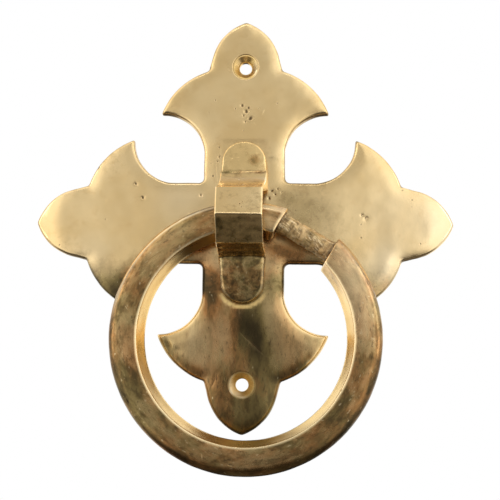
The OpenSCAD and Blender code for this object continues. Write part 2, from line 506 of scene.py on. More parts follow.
def make_backplate():
    outline = softened(even_points(cross_outline(), 0.42), 2)
    outline = outline + inward(outline) * (0.07 * wave(outline, 4, 1.3))[:, None]
    holes = []
    cone = COUNTERSINK_R - HOLE_R
    for side in (1, -1):
        wall = [(t, -0.22 - cone * t) for t in (0.2, 0.4, 0.6, 0.8, 0.94)]
        wall += [(1, -0.3 - cone), (1, -3.1), (1, -3.7)]
        holes.append((np.array([0, side * HOLE_AT]), COUNTERSINK_R, HOLE_R, wall))
    sink_back, shank = SCREW_HEAD_R + 0.1, SCREW_R + 0.15
    for side in (1, -1):
        cone = sink_back - shank
        wall = [(0, -0.5), (0, -1.4), (0, cone - PLATE_T - 0.1)]
        wall += [(t, cone * (1 - t) - PLATE_T) for t in (0.15, 0.4, 0.65, 0.85)]
        holes.append((np.array([FOOT_X[side], side * SCREW_AT]), shank, sink_back, wall))
    extra = []
    for mx, mz, across, along, turn, _depth in PLATE_MARKS:
        size = max(across, along)
        if along < 3 * across:
            extra.append([(mx, mz)])
            extra += [circle((mx, mz), size * r, n) for r, n in ((0.35, 6), (0.7, 10), (1.1, 14), (1.5, 16))]
        else:
            extra.append(scratch_points(mx, mz, across, along, turn))
    extra = np.vstack(extra)
    extra = extra[inside(extra, outline)]
    extra = extra[distance_to(extra, outline) > 1.0]
    obj = relief("backplate_cast", outline, 1.05, 0.62, plate_front, plate_back, 0.9, holes, [extra])
    return tidy_mesh(obj, 38)


# --- Bracket


def loop_path():
    """Outer and inner line of the loop's side view, from the upper foot to the lower one."""
    lean_up = (UPPER_LEG[0] - UPPER_LEG[1]) / KNEE_H
    lean_low = (LOWER_LEG[0] - LOWER_LEG[1]) / KNEE_H
    sunk = 0.04
    outer = np.array([
        (UPPER_LEG[0] + lean_up * sunk, -sunk), (UPPER_LEG[1], KNEE_H), NOSE,
        (LOWER_LEG[1], KNEE_H), (LOWER_LEG[0] + lean_low * sunk, -sunk)])
    way = np.diff(outer, axis=0)
    way /= np.linalg.norm(way, axis=1)[:, None]
    side = np.column_stack([-way[:, 1], way[:, 0]])
    inner = [outer[0] + (-LOOP_T / abs(side[0][0]), 0)]
    for k in (1, 2, 3):
        inner.append(outer[k] + LOOP_T * (side[k - 1] + side[k]) / (1 + side[k - 1] @ side[k]))
    inner.append(outer[4] + (LOOP_T / abs(side[3][0]), 0))
    inner = np.array(inner)
    share = np.linspace(0, 4, 241)
    lines = []
    for corners in (outer, inner):
        line = np.column_stack([np.interp(share, range(5), corners[:, k]) for k in (0, 1)])
        ends = line[[0, -1]].copy()
        for _ in range(5):
            line[1:-1] = line[1:-1] / 2 + (line[2:] + line[:-2]) / 4
        line[[0, -1]] = ends
        lines.append(line)
    height = lines[0][:, 1]
    upper = lines[0][:, 0] > 0
    long_cove = 4.2 * np.clip((12 - height) / 8.6, 0, 1.05) ** 2.5
    short_cove = np.clip((5.2 - height) / 1.8, 0, 1) ** 2
    lines[0][:, 0] += np.where(upper, long_cove, -0.35 * short_cove)
    filed = np.where(upper, 0, 0.14) * smooth((KNEE_H - 1 - lines[0][:, 1]) / 2)
    lines[0][:, 0] += filed * np.sin(lines[0][:, 1] * 1.5)
    return lines


def loop_band():
    outer, inner = loop_path()
    corner, inner_corner = 0.55, 0.35
    quarter = np.linspace(0, math.pi / 2, 5)
    half, flat = BRACKET_HALF, np.linspace(-1, 1, 9)[1:-1]

    def rounding(side, radius, share, lower, upper):
        """Quarter of a round edge. lower and upper give its two ways through the quarter."""
        flat_half, inset = half - radius, -radius if share else radius
        return [(side * (flat_half + radius * lower(a)), share, inset * (1 - upper(a))) for a in quarter]

    shape = rounding(1, corner, 1, math.sin, math.cos)
    shape += [(half, 0.5, 0)]
    shape += rounding(1, inner_corner, 0, math.cos, math.sin)
    shape += [(-f * (half - inner_corner), 0, 0) for f in flat]
    shape += rounding(-1, inner_corner, 0, math.sin, math.cos)
    shape += [(-half, 0.5, 0)]
    shape += rounding(-1, corner, 1, math.cos, math.sin)
    shape += [(f * (half - corner), 1, 0) for f in flat]
    points, rows = [], []
    for o, i in zip(outer, inner):
        through = (o - i) / np.linalg.norm(o - i)
        rows.append(list(range(len(points), len(points) + len(shape))))
        for x, share, shift in shape:
            p = i + (o - i) * share + through * shift
            points.append((x, p[0], p[1]))
    return make_object("bracket_cast", points, skin(rows, flip=True))


def foot(side):
    near = (UPPER_LEG[0] if side > 0 else -LOWER_LEG[0]) - 1.2
    straight_end = FOOT_END - FOOT_SAG
    half = BRACKET_HALF
    tapered = half - FOOT_TAPER
    plan = np.vstack([
        [(-half, near), (half, near), (tapered, straight_end)],
        arc((tapered, straight_end), (-tapered, straight_end), FOOT_SAG, 40)[1:],
        [(-tapered, straight_end)]])
    plan = even_points(plan, 0.4)
    rim_r = 1.1 if side < 0 else 0.4
    if side < 0:
        plan = plan[::-1] * (1, -1)
    plan = softened(plan, 1)

    def front(points, distance):
        inner_edge = abs(points[:, 1]) - near
        free = np.where(inner_edge < distance + 0.05, 3.0, distance)
        run = np.clip((abs(points[:, 1]) - near) / (FOOT_END - near), 0, 1)
        if side < 0:
            fall = 1.5 * run**1.6
        else:
            fall = 1.5 * run**2 - 0.3 * np.clip((16.4 - points[:, 1]) / 2.4, 0, 1)
        crown = 0.30 * np.clip(abs(points[:, 0]) / half, 0, 1) ** 3
        return FOOT_T + 0.2 - rounded(free, rim_r) - fall - crown + 0.05 * wave(points, 4, 5.0)

    def back(points, distance):
        return np.full(len(points), -0.04)

    return tidy_mesh(relief("foot", plan, 0.8, 0.5, front, back, rim_r))


def make_bracket():
    obj = tidy_mesh(loop_band())
    for side in (1, -1):
        boolean(obj, foot(side), "UNION")
    tidy_mesh(obj)
    points = get_points(obj)
    across = smooth((points[:, 1] + 8) / 16)
    base = FOOT_X[-1] + (FOOT_X[1] - FOOT_X[-1]) * across
    lift = smooth((points[:, 2] - 2.5) / 9.5)
    points[:, 0] *= 1 + 0.035 * np.clip(1 - points[:, 2] / NOSE[1], 0, 1)
    points[:, 0] += base + (LOOP_X - base) * lift
    points[:, 1] += 0.030 * (points[:, 0] - LOOP_X) * smooth((points[:, 2] - 8) / 10) * -1
    up = smooth((points[:, 2] - 0.6) / 2)
    for axis, seed in ((0, 2.0), (1, 12.0), (2, 22.0)):
        points[:, axis] += 0.055 * wave(points, 5.0, seed) * up
    c, s = math.cos(BRACKET_TURN), math.sin(BRACKET_TURN)
    points[:, :2] = points[:, :2] @ np.array([(c, s), (-s, c)])
    set_points(obj, points)
    for side in (1, -1):
        hole = [(FOOT_X[side], side * SCREW_AT, h) for h in (-1, TAP_DEPTH)]
        boolean(obj, tube("tap", hole, SCREW_R - 0.02, 40), "DIFFERENCE")
    return tidy_mesh(obj)


def tube(name, path, radius, sides, scale=None):
    """A closed tube along a path of (x, z, height) points. scale may change its radius."""
    path = np.array(path, float)
    way = np.gradient(path, axis=0)
    way /= np.linalg.norm(way, axis=1)[:, None]
    helper = np.array([0, 0, 1.0]) if abs(way[0][2]) < 0.9 else np.array([1.0, 0, 0])
    points, rows = [], []
    for k, (p, w) in enumerate(zip(path, way)):
        u = np.cross(helper, w)
        u /= np.linalg.norm(u)
        v = np.cross(w, u)
        angles = 2 * math.pi * np.arange(sides) / sides
        r = radius * (np.ones(sides) if scale is None else scale(k, angles))
        rows.append(list(range(len(points), len(points) + sides)))
        points += list(p + (np.cos(angles) * r)[:, None] * u + (np.sin(angles) * r)[:, None] * v)
    return tidy_mesh(make_object(name, points, skin(rows)))


# --- Ring


def ring_section():
    """Closed section of the ring as (distance from the centre, height), front upwards."""
    half, crown = RING_HALF_D, 0.10
    lip = 0.3
    front_inner = RING_INNER + INNER_BEVEL
    line = [(front_inner + lip * 0.6, half - 0.02), (front_inner + lip * 0.2, half - lip * 0.35),
            (front_inner - lip * 0.1, half - lip)]
    wall = np.linspace(0, 1, 9)[1:-1, None]
    start, end = np.array(line[-1]), np.array((RING_INNER, INNER_ROUND - half))
    line += list(start + (end - start) * wall + np.array([0.10, 0]) * np.sin(math.pi * wall))
    drop = 1 - math.cos(math.pi / 4)
    line += list(arc(end, (RING_INNER + INNER_ROUND, -half), INNER_ROUND * drop, 8))
    flat = np.linspace(RING_INNER + INNER_ROUND, RING_OUTER - OUTER_ROUND, 7)
    line += [(r, -half) for r in flat[:-1]]
    side, rise, sag = RING_OUTER - OUTER_ROUND, half - OUTER_ROUND, OUTER_ROUND * drop
    line += list(arc((side, -half), (RING_OUTER, -rise), sag, 12))
    line += [(RING_OUTER, -rise), (RING_OUTER, 0)]
    line += list(arc((RING_OUTER, rise), (side, half), sag, 12))
    face = np.linspace(RING_OUTER - OUTER_ROUND, front_inner + lip, 9)[:-1]
    middle, span = (face[0] + front_inner) / 2, (face[0] - front_inner) / 2
    line += [(r, half + crown * (1 - ((r - middle) / span) ** 2)) for r in face]
    return np.array(line)


def make_ring():
    section = ring_section()
    centre = section.mean(0)
    steps, edge = 260, 0.55
    quarter = np.linspace(0, math.pi / 2, 5)[:-1]
    ends = [(edge * (1 - math.cos(a)), edge * (1 - math.sin(a))) for a in quarter]
    points, rows = [], []

    def add_row(shape, share, back_off):
        rows.append(list(range(len(points), len(points) + len(shape))))
        for r, h in shape:
            start = math.asin((NECK_HALF + back_off) / r)
            angle = NECK_ANGLE + start + share * (2 * math.pi - 2 * start)
            points.append((RING_CENTRE[0] + r * math.sin(angle), RING_CENTRE[1] + r * math.cos(angle),
                           RING_AXIS_H + h))

    def shrunk(inset):
        away = section - centre
        return centre + away * (1 - inset / np.linalg.norm(away, axis=1))[:, None]

    for back_off, inset in ends:
        add_row(shrunk(inset), 0, back_off)
    for share in np.linspace(0, 1, steps):
        add_row(section, share, edge)
    for back_off, inset in ends[::-1]:
        add_row(shrunk(inset), 1, back_off)
    obj = tidy_mesh(make_object("ring_cast", points, skin(rows)), 40)

    along = np.linspace(-NECK_HALF - 1.6, NECK_HALF + 1.6, 90)
    c, s = math.cos(NECK_ANGLE), math.sin(NECK_ANGLE)
    x, z = RING_CENTRE + NECK_REACH * np.array([s, c])
    path = [(x + t * c, z - t * s, RING_AXIS_H) for t in along]

    def lumps(k, angles):
        t = along[k]
        around = 1.6 * np.column_stack([np.cos(angles), np.sin(angles)])
        cast = [noise.fractal((t / 2.6, u, v), 0.7, 2.0, 4) for u, v in around]
        fillet = 0.16 * sum(math.exp(-max(0, NECK_HALF - side * t) / 1.0) for side in (1, -1))
        return 1 + 0.085 * np.array(cast) + fillet

    boolean(obj, tube("neck", path, NECK_R, 40, lumps), "UNION")
    tidy_mesh(obj, 40)
    points = get_points(obj)
    for axis, seed in ((0, 31.0), (1, 41.0), (2, 51.0)):
        points[:, axis] += 0.05 * wave(points, 6.0, seed) + 0.02 * wave(points, 1.8, seed)
    set_points(obj, points)
    return tidy_mesh(obj, 40)


# --- Screws


def make_screw(name, side):
    """A slotted countersunk machine screw, its head flush with the back of the plate."""
    x, z = FOOT_X[side], side * SCREW_AT
    cone, end = SCREW_HEAD_R - SCREW_R, SCREW_L - 0.45
    core, pitch, sides = SCREW_R - 0.38, 0.7, 48
    share = np.arange(sides) / sides
    around = np.column_stack([np.cos(2 * math.pi * share), np.sin(2 * math.pi * share)])
    points, rows = [], []

    def level(radius, height):
        """One row of points. The radius may change on the way round."""
        rows.append(list(range(len(points), len(points) + sides)))
        flat = around * np.broadcast_to(radius, sides)[:, None]
        points.extend((x + u, z + v, height - PLATE_T) for u, v in flat)

    level(SCREW_HEAD_R - 0.25, 0)
    level(SCREW_HEAD_R - 0.07, 0.05)
    level(SCREW_HEAD_R, 0.2)
    level(SCREW_HEAD_R - 0.05, 0.32)
    level(SCREW_R, cone + 0.1)
    for height in np.arange(cone + 0.2, end, pitch / 8):
        phase = (height / pitch - share) % 1
        fade = smooth((height - cone - 0.2) / pitch) * smooth((end - height) / pitch + 0.2)
        level(core + (SCREW_R - core) * (1 - fade + fade * abs(2 * phase - 1)), height)
    level(core, end)
    level(core - 0.35, SCREW_L)
    obj = tidy_mesh(make_object(name, points, skin(rows)), 30)

    turn = math.radians(25 if side > 0 else -40)
    c, s = math.cos(turn), math.sin(turn)
    half, depth, long = 0.55, 0.9, 5
    corners = [
        (x + u * c - v * s, z + u * s + v * c, h - PLATE_T)
        for h in (-1, depth) for u, v in ((-long, -half), (long, -half), (long, half), (-long, half))]
    slot = tidy_mesh(make_object("slot", corners, skin([[0, 1, 2, 3], [4, 5, 6, 7]])))
    boolean(obj, slot, "DIFFERENCE")
    return tidy_mesh(obj, 30)


# --- Materials


class Nodes:
    """Builds a node tree. A value that is a socket is linked, any other is set."""

    def __init__(self, tree):
        self.tree = tree
        tree.nodes.clear()

    def __call__(self, kind, out=0, inputs=None, **properties):
        node = self.tree.nodes.new("ShaderNode" + kind)
        for key, value in properties.items():
            setattr(node, key, value)
        for key, value in (inputs or {}).items():
            socket = node.inputs[key]
            if isinstance(value, bpy.types.NodeSocket):
                self.tree.links.new(value, socket)
            else:
                socket.default_value = value
        return node.outputs[out] if node.outputs else None

    def noise(self, vector, scale, detail=3.0, roughness=0.55, distortion=0.0):
        return self("TexNoise", "Fac", {"Vector": vector, "Scale": scale, "Detail": detail,
                                        "Roughness": roughness, "Distortion": distortion})

    def ramp(self, value, low, high):
        """0 below low and 1 above high, smooth between."""
        return self("MapRange", 0, {"Value": value, "From Min": low, "From Max": high},
                    interpolation_type="SMOOTHSTEP", clamp=True)

    def math(self, operation, a, b=0.0, clamp=False):
        return self("Math", 0, {0: a, 1: b}, operation=operation, use_clamp=clamp)

    def times(self, a, b, clamp=False):
        return self.math("MULTIPLY", a, b, clamp)

    def plus(self, a, b, clamp=False):
        return self.math("ADD", a, b, clamp)

    def minus(self, a, b):
        return self.math("SUBTRACT", a, b)

    def mix(self, share, a, b):
        return self("Mix", 2, {0: share, 6: a, 7: b}, data_type="RGBA")

    def stretched(self, vector, turn, scale):
        """The coordinates turned about the line of sight onto the plate, then scaled."""
        return self("Mapping", 0, {"Vector": vector, "Rotation": (0, math.radians(turn), 0),
                                   "Scale": [1 / s for s in scale]}, vector_type="TEXTURE")

    def value(self, name):
        return self("Attribute", "Fac", attribute_name=name)


def rgba(r, g, b):
    return (r, g, b, 1.0)


def new_material(name):
    material = bpy.data.materials.new(name)
    material.use_nodes = True
    return material, Nodes(material.node_tree)


def brass(name, gloss, brown, blotches, speckle, scratched, red):
    """Aged cast brass. brown and red shift how much of the patina shows, and of which tone.

    A noise's scale is in features per metre: 48 gives broad clouds and 1900 a fine grain.
    """
    material, n = new_material(name)
    at = n("Attribute", "Vector", attribute_name="place")
    broad = n.noise(at, 48, 3)
    cloud = n.noise(at, 130, 5, 0.62, 0.6)
    mottle = n.noise(at, 420, 5, 0.68, 0.3)
    fine = n.noise(at, 1900, 3, 0.7)
    ridge = n.value("ridge")
    groove = n.value("groove")

    lines = []
    for turn, shift, long in ((24, 0.0, 120), (-38, 0.31, 160), (79, 0.73, 90), (-66, 0.57, 200)):
        moved = n("VectorMath", 0, {0: at, 1: (shift, shift, shift)}, operation="ADD")
        drawn = n.noise(n.stretched(moved, turn, (2900, 2900, long)), 1.0, 1, 0.5)
        lines.append(n.times(n.ramp(drawn, 0.79 - scratched, 0.85 - scratched),
                            n.ramp(n.noise(moved, 150, 2), 0.48, 0.60)))
    scratch = lines[0]
    for line in lines[1:]:
        scratch = n.math("MAXIMUM", scratch, line)
    specks = n.ramp(n.noise(at, 1150, 2, 0.5), 0.70 - scratched, 0.78 - scratched)
    cells = n("TexVoronoi", "Distance", {"Vector": at, "Scale": 420.0})
    pitted = n.times(n.ramp(n.noise(at, 150, 2), 0.60, 0.70),
                    n.minus(1.0, n.ramp(cells, 0.08, 0.20)))

    bright = n.mix(n.ramp(broad, 0.36, 0.66), rgba(0.83, 0.585, 0.285), rgba(0.90, 0.665, 0.36))
    bright = n.mix(n.times(n.ramp(mottle, 0.52, 0.72), 0.30), bright, rgba(0.74, 0.47, 0.20))
    elsewhere = n("VectorMath", 0, {0: at, 1: (0.5, 0.2, 0.8)}, operation="ADD")
    hue = n.ramp(n.noise(elsewhere, 110, 5, 0.7), 0.34, 0.66)
    tone = n.plus(hue, n.plus(n.value("red"), red - 0.5), clamp=True)
    tarnish_and_shade_colour = n.mix(tone, rgba(0.26, 0.188, 0.074), rgba(0.44, 0.207, 0.075))
    tarnish_and_shade_colour = n.mix(n.times(n.ramp(mottle, 0.46, 0.72), 0.7), tarnish_and_shade_colour, rgba(0.13, 0.082, 0.035))
    spread = n.plus(n.times(n.minus(n.ramp(cloud, 0.36, 0.64), 0.5), blotches),
                    n.times(n.minus(n.ramp(mottle, 0.36, 0.64), 0.5), speckle))
    # The patina field carries tarnish, and also painted shade and painted light.
    total = n.plus(n.plus(n.value("patina"), brown), spread)
    share = n.times(total, 1.0, clamp=True)
    colour = n.mix(share, bright, tarnish_and_shade_colour)
    colour = n.mix(n.ramp(total, 0.80, 1.60), colour, rgba(0.060, 0.044, 0.022))
    dots = n.times(n.ramp(n.noise(at, 1000, 3, 0.6), 0.58, 0.70), n.ramp(total, 0.2, 0.7))
    colour = n.mix(n.times(dots, 0.55), colour, rgba(0.09, 0.060, 0.030))
    worn = n.math("MAXIMUM", n.times(n.ramp(ridge, 0.20, 0.75), 0.8),
                  n.times(n.math("MAXIMUM", scratch, specks), 0.38))
    colour = n.mix(worn, colour, rgba(0.93, 0.74, 0.45))
    dark = n.math("MAXIMUM", pitted, n.ramp(groove, 0.12, 0.6))
    dark = n.math("MAXIMUM", dark, n.value("grime"))
    colour = n.mix(n.times(dark, 0.85), colour, rgba(0.050, 0.028, 0.014))
    drilled = n.value("drilled")
    colour = n.mix(drilled, colour, rgba(0.84, 0.59, 0.235))
    # The polish field carries rubbed brass, and also painted highlights and painted light.
    colour = n.mix(n.value("polished"), colour, rgba(0.98, 0.86, 0.66))
    raw = n.value("raw")
    strokes = n.ramp(n.noise(n.stretched(at, 35, (1500, 1500, 260)), 1.0, 3, 0.6), 0.45, 0.65)
    rugged = n.noise(at, 800, 5, 0.7)
    pale = n.times(n.times(strokes, n.ramp(rugged, 0.42, 0.58)), raw)
    colour = n.mix(n.times(pale, 0.8), colour, rgba(0.90, 0.72, 0.46))

    rough = n("MapRange", 0, {"Value": cloud, "From Min": 0.3, "From Max": 0.7,
                              "To Min": gloss - 0.04, "To Max": gloss + 0.05})
    rough = n.plus(rough, n.times(share, 0.08))
    rough = n.plus(rough, n.times(raw, 0.20))
    rough = n.plus(rough, n.times(drilled, 0.08))
    rough = n.plus(rough, n.times(dark, 0.30), clamp=True)
    height = n.plus(n.times(mottle, 0.16), n.times(fine, 0.10))
    height = n.minus(height, n.times(scratch, 0.18))
    height = n.minus(height, n.times(pitted, 0.8))
    rugged = n.plus(rugged, n.times(strokes, 0.5))
    height = n.plus(height, n.times(n.times(rugged, raw), 3.0))
    bump = n("Bump", 0, {"Height": height, "Strength": 0.55, "Distance": 0.00016})
    return finish_metal(n, material, colour, rough, bump)


def finish_metal(n, material, colour, rough, bump):
    shader = n("BsdfPrincipled", 0, {"Base Color": colour, "Roughness": rough, "Normal": bump,
                                     "Metallic": 1.0})
    n("OutputMaterial", 0, {"Surface": shader})
    return material


def steel(name):
    material, n = new_material(name)
    at = n("TexCoord", "Object")
    turned = n.noise(n("Mapping", 0, {"Vector": at, "Scale": (300, 300, 4000)}), 1.0, 3, 0.6)
    rust = n.ramp(n.noise(at, 700, 5, 0.7), 0.56, 0.72)
    groove = n.ramp(n.value("groove"), 0.1, 0.6)
    colour = n.mix(turned, rgba(0.42, 0.41, 0.38), rgba(0.60, 0.59, 0.56))
    colour = n.mix(n.times(rust, 0.6), colour, rgba(0.16, 0.075, 0.035))
    colour = n.mix(n.times(groove, 0.8), colour, rgba(0.03, 0.025, 0.02))
    rough = n.plus(n.times(turned, 0.2), n.times(rust, 0.25))
    rough = n.plus(rough, 0.25, clamp=True)
    bump = n("Bump", 0, {"Height": n.plus(turned, rust), "Strength": 0.4, "Distance": 0.00008})
    return finish_metal(n, material, colour, rough, bump)


def plain(name, colour):
    material, n = new_material(name)
    at = n("TexCoord", "Object")
    shade = n.mix(n.noise(at, 6, 2), colour, rgba(*[c * 0.98 for c in colour[:3]]))
    n("OutputMaterial", 0, {"Surface": n("BsdfPrincipled", 0, {"Base Color": shade, "Roughness": 0.8})})
    return material


# --- Light, floor and camera


def softbox(name, at, width, height, power):
    """A rectangular area light that faces the origin."""
    light = bpy.data.lights.new(name, "AREA")
    light.shape = "RECTANGLE"
    light.size, light.size_y = width, height
    light.energy = power
    obj = add_to_scene(name, light)
    obj.location = at
    obj.rotation_mode = "QUATERNION"
    obj.rotation_quaternion = (-Vector(at)).to_track_quat("-Z", "Y")


def make_world():
    """A studio: a pale ceiling and front, dimmer behind and dark below.

    A bright panel stands on the right, and one on each side low down. A dark patch straight
    ahead is where the viewer stands. Shares of the way right, back and up say where each is.
    """
    world = bpy.data.worlds.new("studio")
    bpy.context.scene.world = world
    world.use_nodes = True
    n = Nodes(world.node_tree)
    way = n("TexCoord", "Generated")
    split = n("SeparateXYZ", 0, {0: way}).node
    right, back, up = split.outputs
    colour = n.mix(n.ramp(back, -0.2, 0.5), rgba(0.63, 0.635, 0.60), rgba(0.52, 0.52, 0.50))
    colour = n.mix(n.ramp(up, 0.27, 0.37), colour, rgba(0.56, 0.565, 0.53))
    colour = n.mix(n.ramp(up, 0.50, 0.80), colour, rgba(0.63, 0.635, 0.60))
    left = n.times(n.ramp(right, -0.03, -0.20), n.ramp(up, 0.32, 0.14))
    colour = n.mix(left, colour, rgba(0.75, 0.76, 0.73))
    apart = n("VectorMath", "Value", {0: way, 1: (0.0, -1.0, -0.03)}, operation="DISTANCE")
    colour = n.mix(n.ramp(apart, 0.19, 0.05), colour, rgba(0.10, 0.085, 0.07))
    colour = n.mix(n.ramp(up, -0.02, -0.27), colour, rgba(0.082, 0.075, 0.062))
    colour = n.mix(n.ramp(up, -0.78, -0.93), colour, rgba(0.165, 0.15, 0.125))
    colour = n.mix(n.times(n.ramp(right, 0.03, 0.30), n.ramp(up, -0.35, 0.05)),
                   colour, rgba(1.40, 1.44, 1.42))
    beside = n.times(n.ramp(n.math("ABSOLUTE", right), 0.24, 0.46), n.ramp(up, -0.75, -0.35))
    colour = n.mix(beside, colour, rgba(1.34, 1.34, 1.26))
    aside = n.times(n.ramp(n.math("ABSOLUTE", right), 0.66, 0.84), n.ramp(up, -0.75, -0.35))
    colour = n.mix(aside, colour, rgba(0.90, 0.90, 0.86))
    colour = n.mix(n("LightPath", "Is Camera Ray"), colour, rgba(1.0, 1.0, 1.0))
    n("OutputWorld", 0, {"Surface": n("Background", 0, {"Color": colour, "Strength": 1.0})})


def make_floor():
    mesh = bpy.data.meshes.new("floor")
    level, width, near, far = -0.20, 0.9, -0.5, 0.9
    corners = [(x, y, level) for x, y in ((-width, near), (width, near), (width, far), (-width, far))]
    mesh.from_pydata(corners, [], [(0, 1, 2, 3)])
    floor = add_to_scene("floor", mesh)
    mesh.materials.append(plain("pale_floor", rgba(0.86, 0.86, 0.85)))
    floor.visible_glossy = False


def make_camera():
    azimuth, elevation, roll = map(math.radians, (2.108, -7.704, 0.666))
    target, distance = Vector((2.22, -4.0, -9.23)) * MM, 360.0 * MM
    back = Vector((math.sin(azimuth) * math.cos(elevation), -math.cos(azimuth) * math.cos(elevation),
                   math.sin(elevation)))
    data = bpy.data.cameras.new("camera")
    data.lens = 77.97
    data.sensor_width = 36
    camera = add_to_scene("camera", data)
    bpy.context.scene.camera = camera
    camera.rotation_mode = "QUATERNION"
    facing = (-back).to_track_quat("-Z", "Y").to_matrix()
    camera.rotation_quaternion = (facing @ Matrix.Rotation(roll, 3, "Z")).to_quaternion()
    camera.location = target + back * distance
    data.clip_start, data.clip_end = 0.01, 20


# --- The knocker


def finish_piece(obj, body, node, slot, material, **fields):
    """Stores the named values that the material reads, and rides the piece on its body.

    A field that isn't given has no effect: edges fully worn, noise read in place, all else 0.
    """
    points = get_points(obj)
    ones, zeros = np.ones(len(points)), np.zeros(len(points))

    def field(name, otherwise):
        return fields[name](points) if name in fields else otherwise

    add_edge_values(obj, field("ridge", ones), field("groove", ones))
    place = obj.data.attributes.new("place", "FLOAT_VECTOR", "POINT")
    place.data.foreach_set("vector", to_world(field("place", points)).ravel())
    for name in ("patina", "red", "grime", "drilled", "raw", "polished"):
        add_values(obj, name, field(name, zeros))
    obj.data.materials.clear()
    obj.data.materials.append(material)
    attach(obj, body)
    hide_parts(node)


def plate_place(points):
    """Where the material's noise is read: drawn out downwards on the lower arm."""
    x, z, height = points.T
    return np.column_stack([x, z + 0.6 * np.clip(-24 - z, 0, None), height])


def plate_ridge(points):
    """The plate's edges are little worn."""
    return np.full(len(points), 0.25)


def plate_patina(points):
    """Darker towards the bottom, with tarnish round the bracket. Painted shadow lies under the neck, painted
    reflections beside the ring, above the neck and along the left arm's lower edge, and painted shade and
    highlight along the edges.
    """
    x, z, _ = points.T
    mirrored = np.column_stack([abs(x), -z])
    flare = arc(BARB, (FLARE_START, ARM_HALF), -FLARE_SAG)[:, ::-1]
    shoulder = arc(NOTCH, BARB, SHOULDER_SAG)[:, ::-1]
    lobe = arc((ARM_REACH, 0), LOBE_ROOT, LOBE_SAG)[:, ::-1]
    # Darker towards the bottom. The patch at (14, -9.8) is a painted shadow under the neck, and the one at
    # (20, 4) a painted dark reflection above the neck.
    value = 0.85 * smooth((-z - 10) / 10) + patches(
        points,
        (-0.45, -24, -40, 12, 9), (-0.06, 25, -38, 9, 8), (0.25, -6, -52, 6, 9), (0.12, -59, -5, 10, 4),
        (0.08, -9, 58, 8, 8), (0.08, 37, 0, 8, 7), (0.95, 3.5, -36, 4.5, 12, 12), (0.45, -1.5, -34, 2.5, 10),
        (0.40, 2, -60, 10, 14), (-0.35, 9, -31, 2, 7, 5), (0.45, -11, -25, 5, 8), (0.68, 20, 4, 12, 11),
        (0.25, 14, 9, 6, 3), (1.30, 14, -9.8, 11, 4.2, -12), (0.28, -46, 22, 8, 8), (0.70, -12, -16, 5, 9),
        (0.80, -15, -9, 6, 3), (0.35, 11, -20, 3, 6))
    # Painted reflection of the ring: a dark band beside its outer edge on the left arm.
    value += 0.20 * close_to(points, RING_REFLECTION_LEFT, 3.0)
    # Painted reflection: dark olive bands along the left arm's lower edge, by its shoulder and its tip.
    value += 0.42 * close_to(-points, arc(NOTCH, BARB, SHOULDER_SAG) + (-1.5, -1.5), 3.2)
    value += 0.14 * close_to(-points, arc((ARM_REACH, 0), LOBE_ROOT, LOBE_SAG)[6:] + (-2.5, -2.5), 3.0)
    # Painted shade along the edges of the outline, except on the lower arm and the lower side of the right
    # arm.
    edge = distance_to(points[:, :2], even_points(cross_outline(), 0.4))
    right_low = smooth((x - 30) / 8) * smooth(-z / 5)
    value += 0.60 * np.exp(-(edge / 0.8) ** 2) * smooth((z + 24) / 4) * (1 - right_low)
    # Painted shade in bands just inside the lower arm's shoulders and tip, and painted highlight on its
    # flare edges and on part of its right shoulder's edge.
    value += 0.60 * close_to(mirrored, shoulder[4:] + (-1.2, -1.2), 2.2) * (x < 0)
    value += 0.45 * close_to(mirrored, shoulder[:14] + (-1.2, -1.2), 2.2) * (x > 0)
    value += 0.30 * close_to(mirrored, lobe + (-1.0, -1.0), 2.5)
    value -= 1.20 * close_to(mirrored, flare, 1.1)
    value -= 1.30 * close_to(mirrored, shoulder[12:], 0.9) * (x > 0)
    # Painted reflection of the ring on the plate, just outside its outer edge, mostly on the left.
    from_ring = np.hypot(x - RING_CENTRE[0], z - RING_CENTRE[1]) - RING_OUTER
    ring_reflection = np.exp(-((from_ring - 0.5) / 3.5) ** 2)
    value += 0.36 * ring_reflection * smooth((-x - 5) / 10) * (0.5 + 0.5 * smooth(-z / 10))
    value += 0.12 * smooth((32 - z) / 3) * smooth((z - 16) / 6) * smooth((13 - abs(x)) / 4)
    value += 0.20 * smooth((28.5 - z) / 1.5) * smooth((z - 14) / 4) * smooth((9 - abs(x)) / 2)
    back = on_back(points)
    return value * (1 - 0.95 * foot_groove(points)) * (1 - back) + 0.55 * back


def on_back(points):
    """1 on the back, which has no marks of use."""
    return smooth((-points[:, 2] - 3) / 0.8)


def plate_drilled(points):
    """The countersinks, and the groove round the bracket's lower foot, look freshly cut."""
    x, z, height = points.T
    upper, lower = np.hypot(x, z - HOLE_AT), np.hypot(x, z + HOLE_AT)
    value = smooth((COUNTERSINK_R + 0.1 - np.minimum(upper, lower)) / 0.2) * (height > -3.9)
    # Painted light and shade in the cones: the lower cone is fresh brass mostly at its lower left, and the
    # upper cone is darker at its upper left.
    value *= np.where(z > 0, 1, 0.45 + 0.55 * blob(points, -2.0, -2.2 - HOLE_AT, 2.6, 1.5, -40))
    value *= 1 - 0.60 * blob(points, -1.8, HOLE_AT + 2.2, 2.6, 1.6, 40)
    return np.maximum(value, foot_groove(points))


def plate_polished(points):
    """Bright crescents where the countersinks catch the light, and paler patches: rubbing, with a painted
    highlight at the right arm's tip.
    """
    value = patches(points, (1, -1.4, -3.0 - HOLE_AT, 2.4, 0.8, -25), (1, -3.3, -0.3 - HOLE_AT, 0.7, 2.2),
                    (1, 3.3, HOLE_AT - 0.8, 0.7, 2.4))
    # Paler patches: rubbing, and at the right arm's tip a painted highlight.
    pale_patches = patches(points, (0.42, 66, 0, 6, 9), (0.22, 50, 3, 9, 9), (0.40, 48, -13, 7, 7),
                     (0.26, -21, 8, 9, 7), (0.16, -51, -12, 8, 6))
    return pale_patches * (1 - on_back(points)) + 0.7 * np.clip(value, 0, 1) * (plate_drilled(points) > 0)


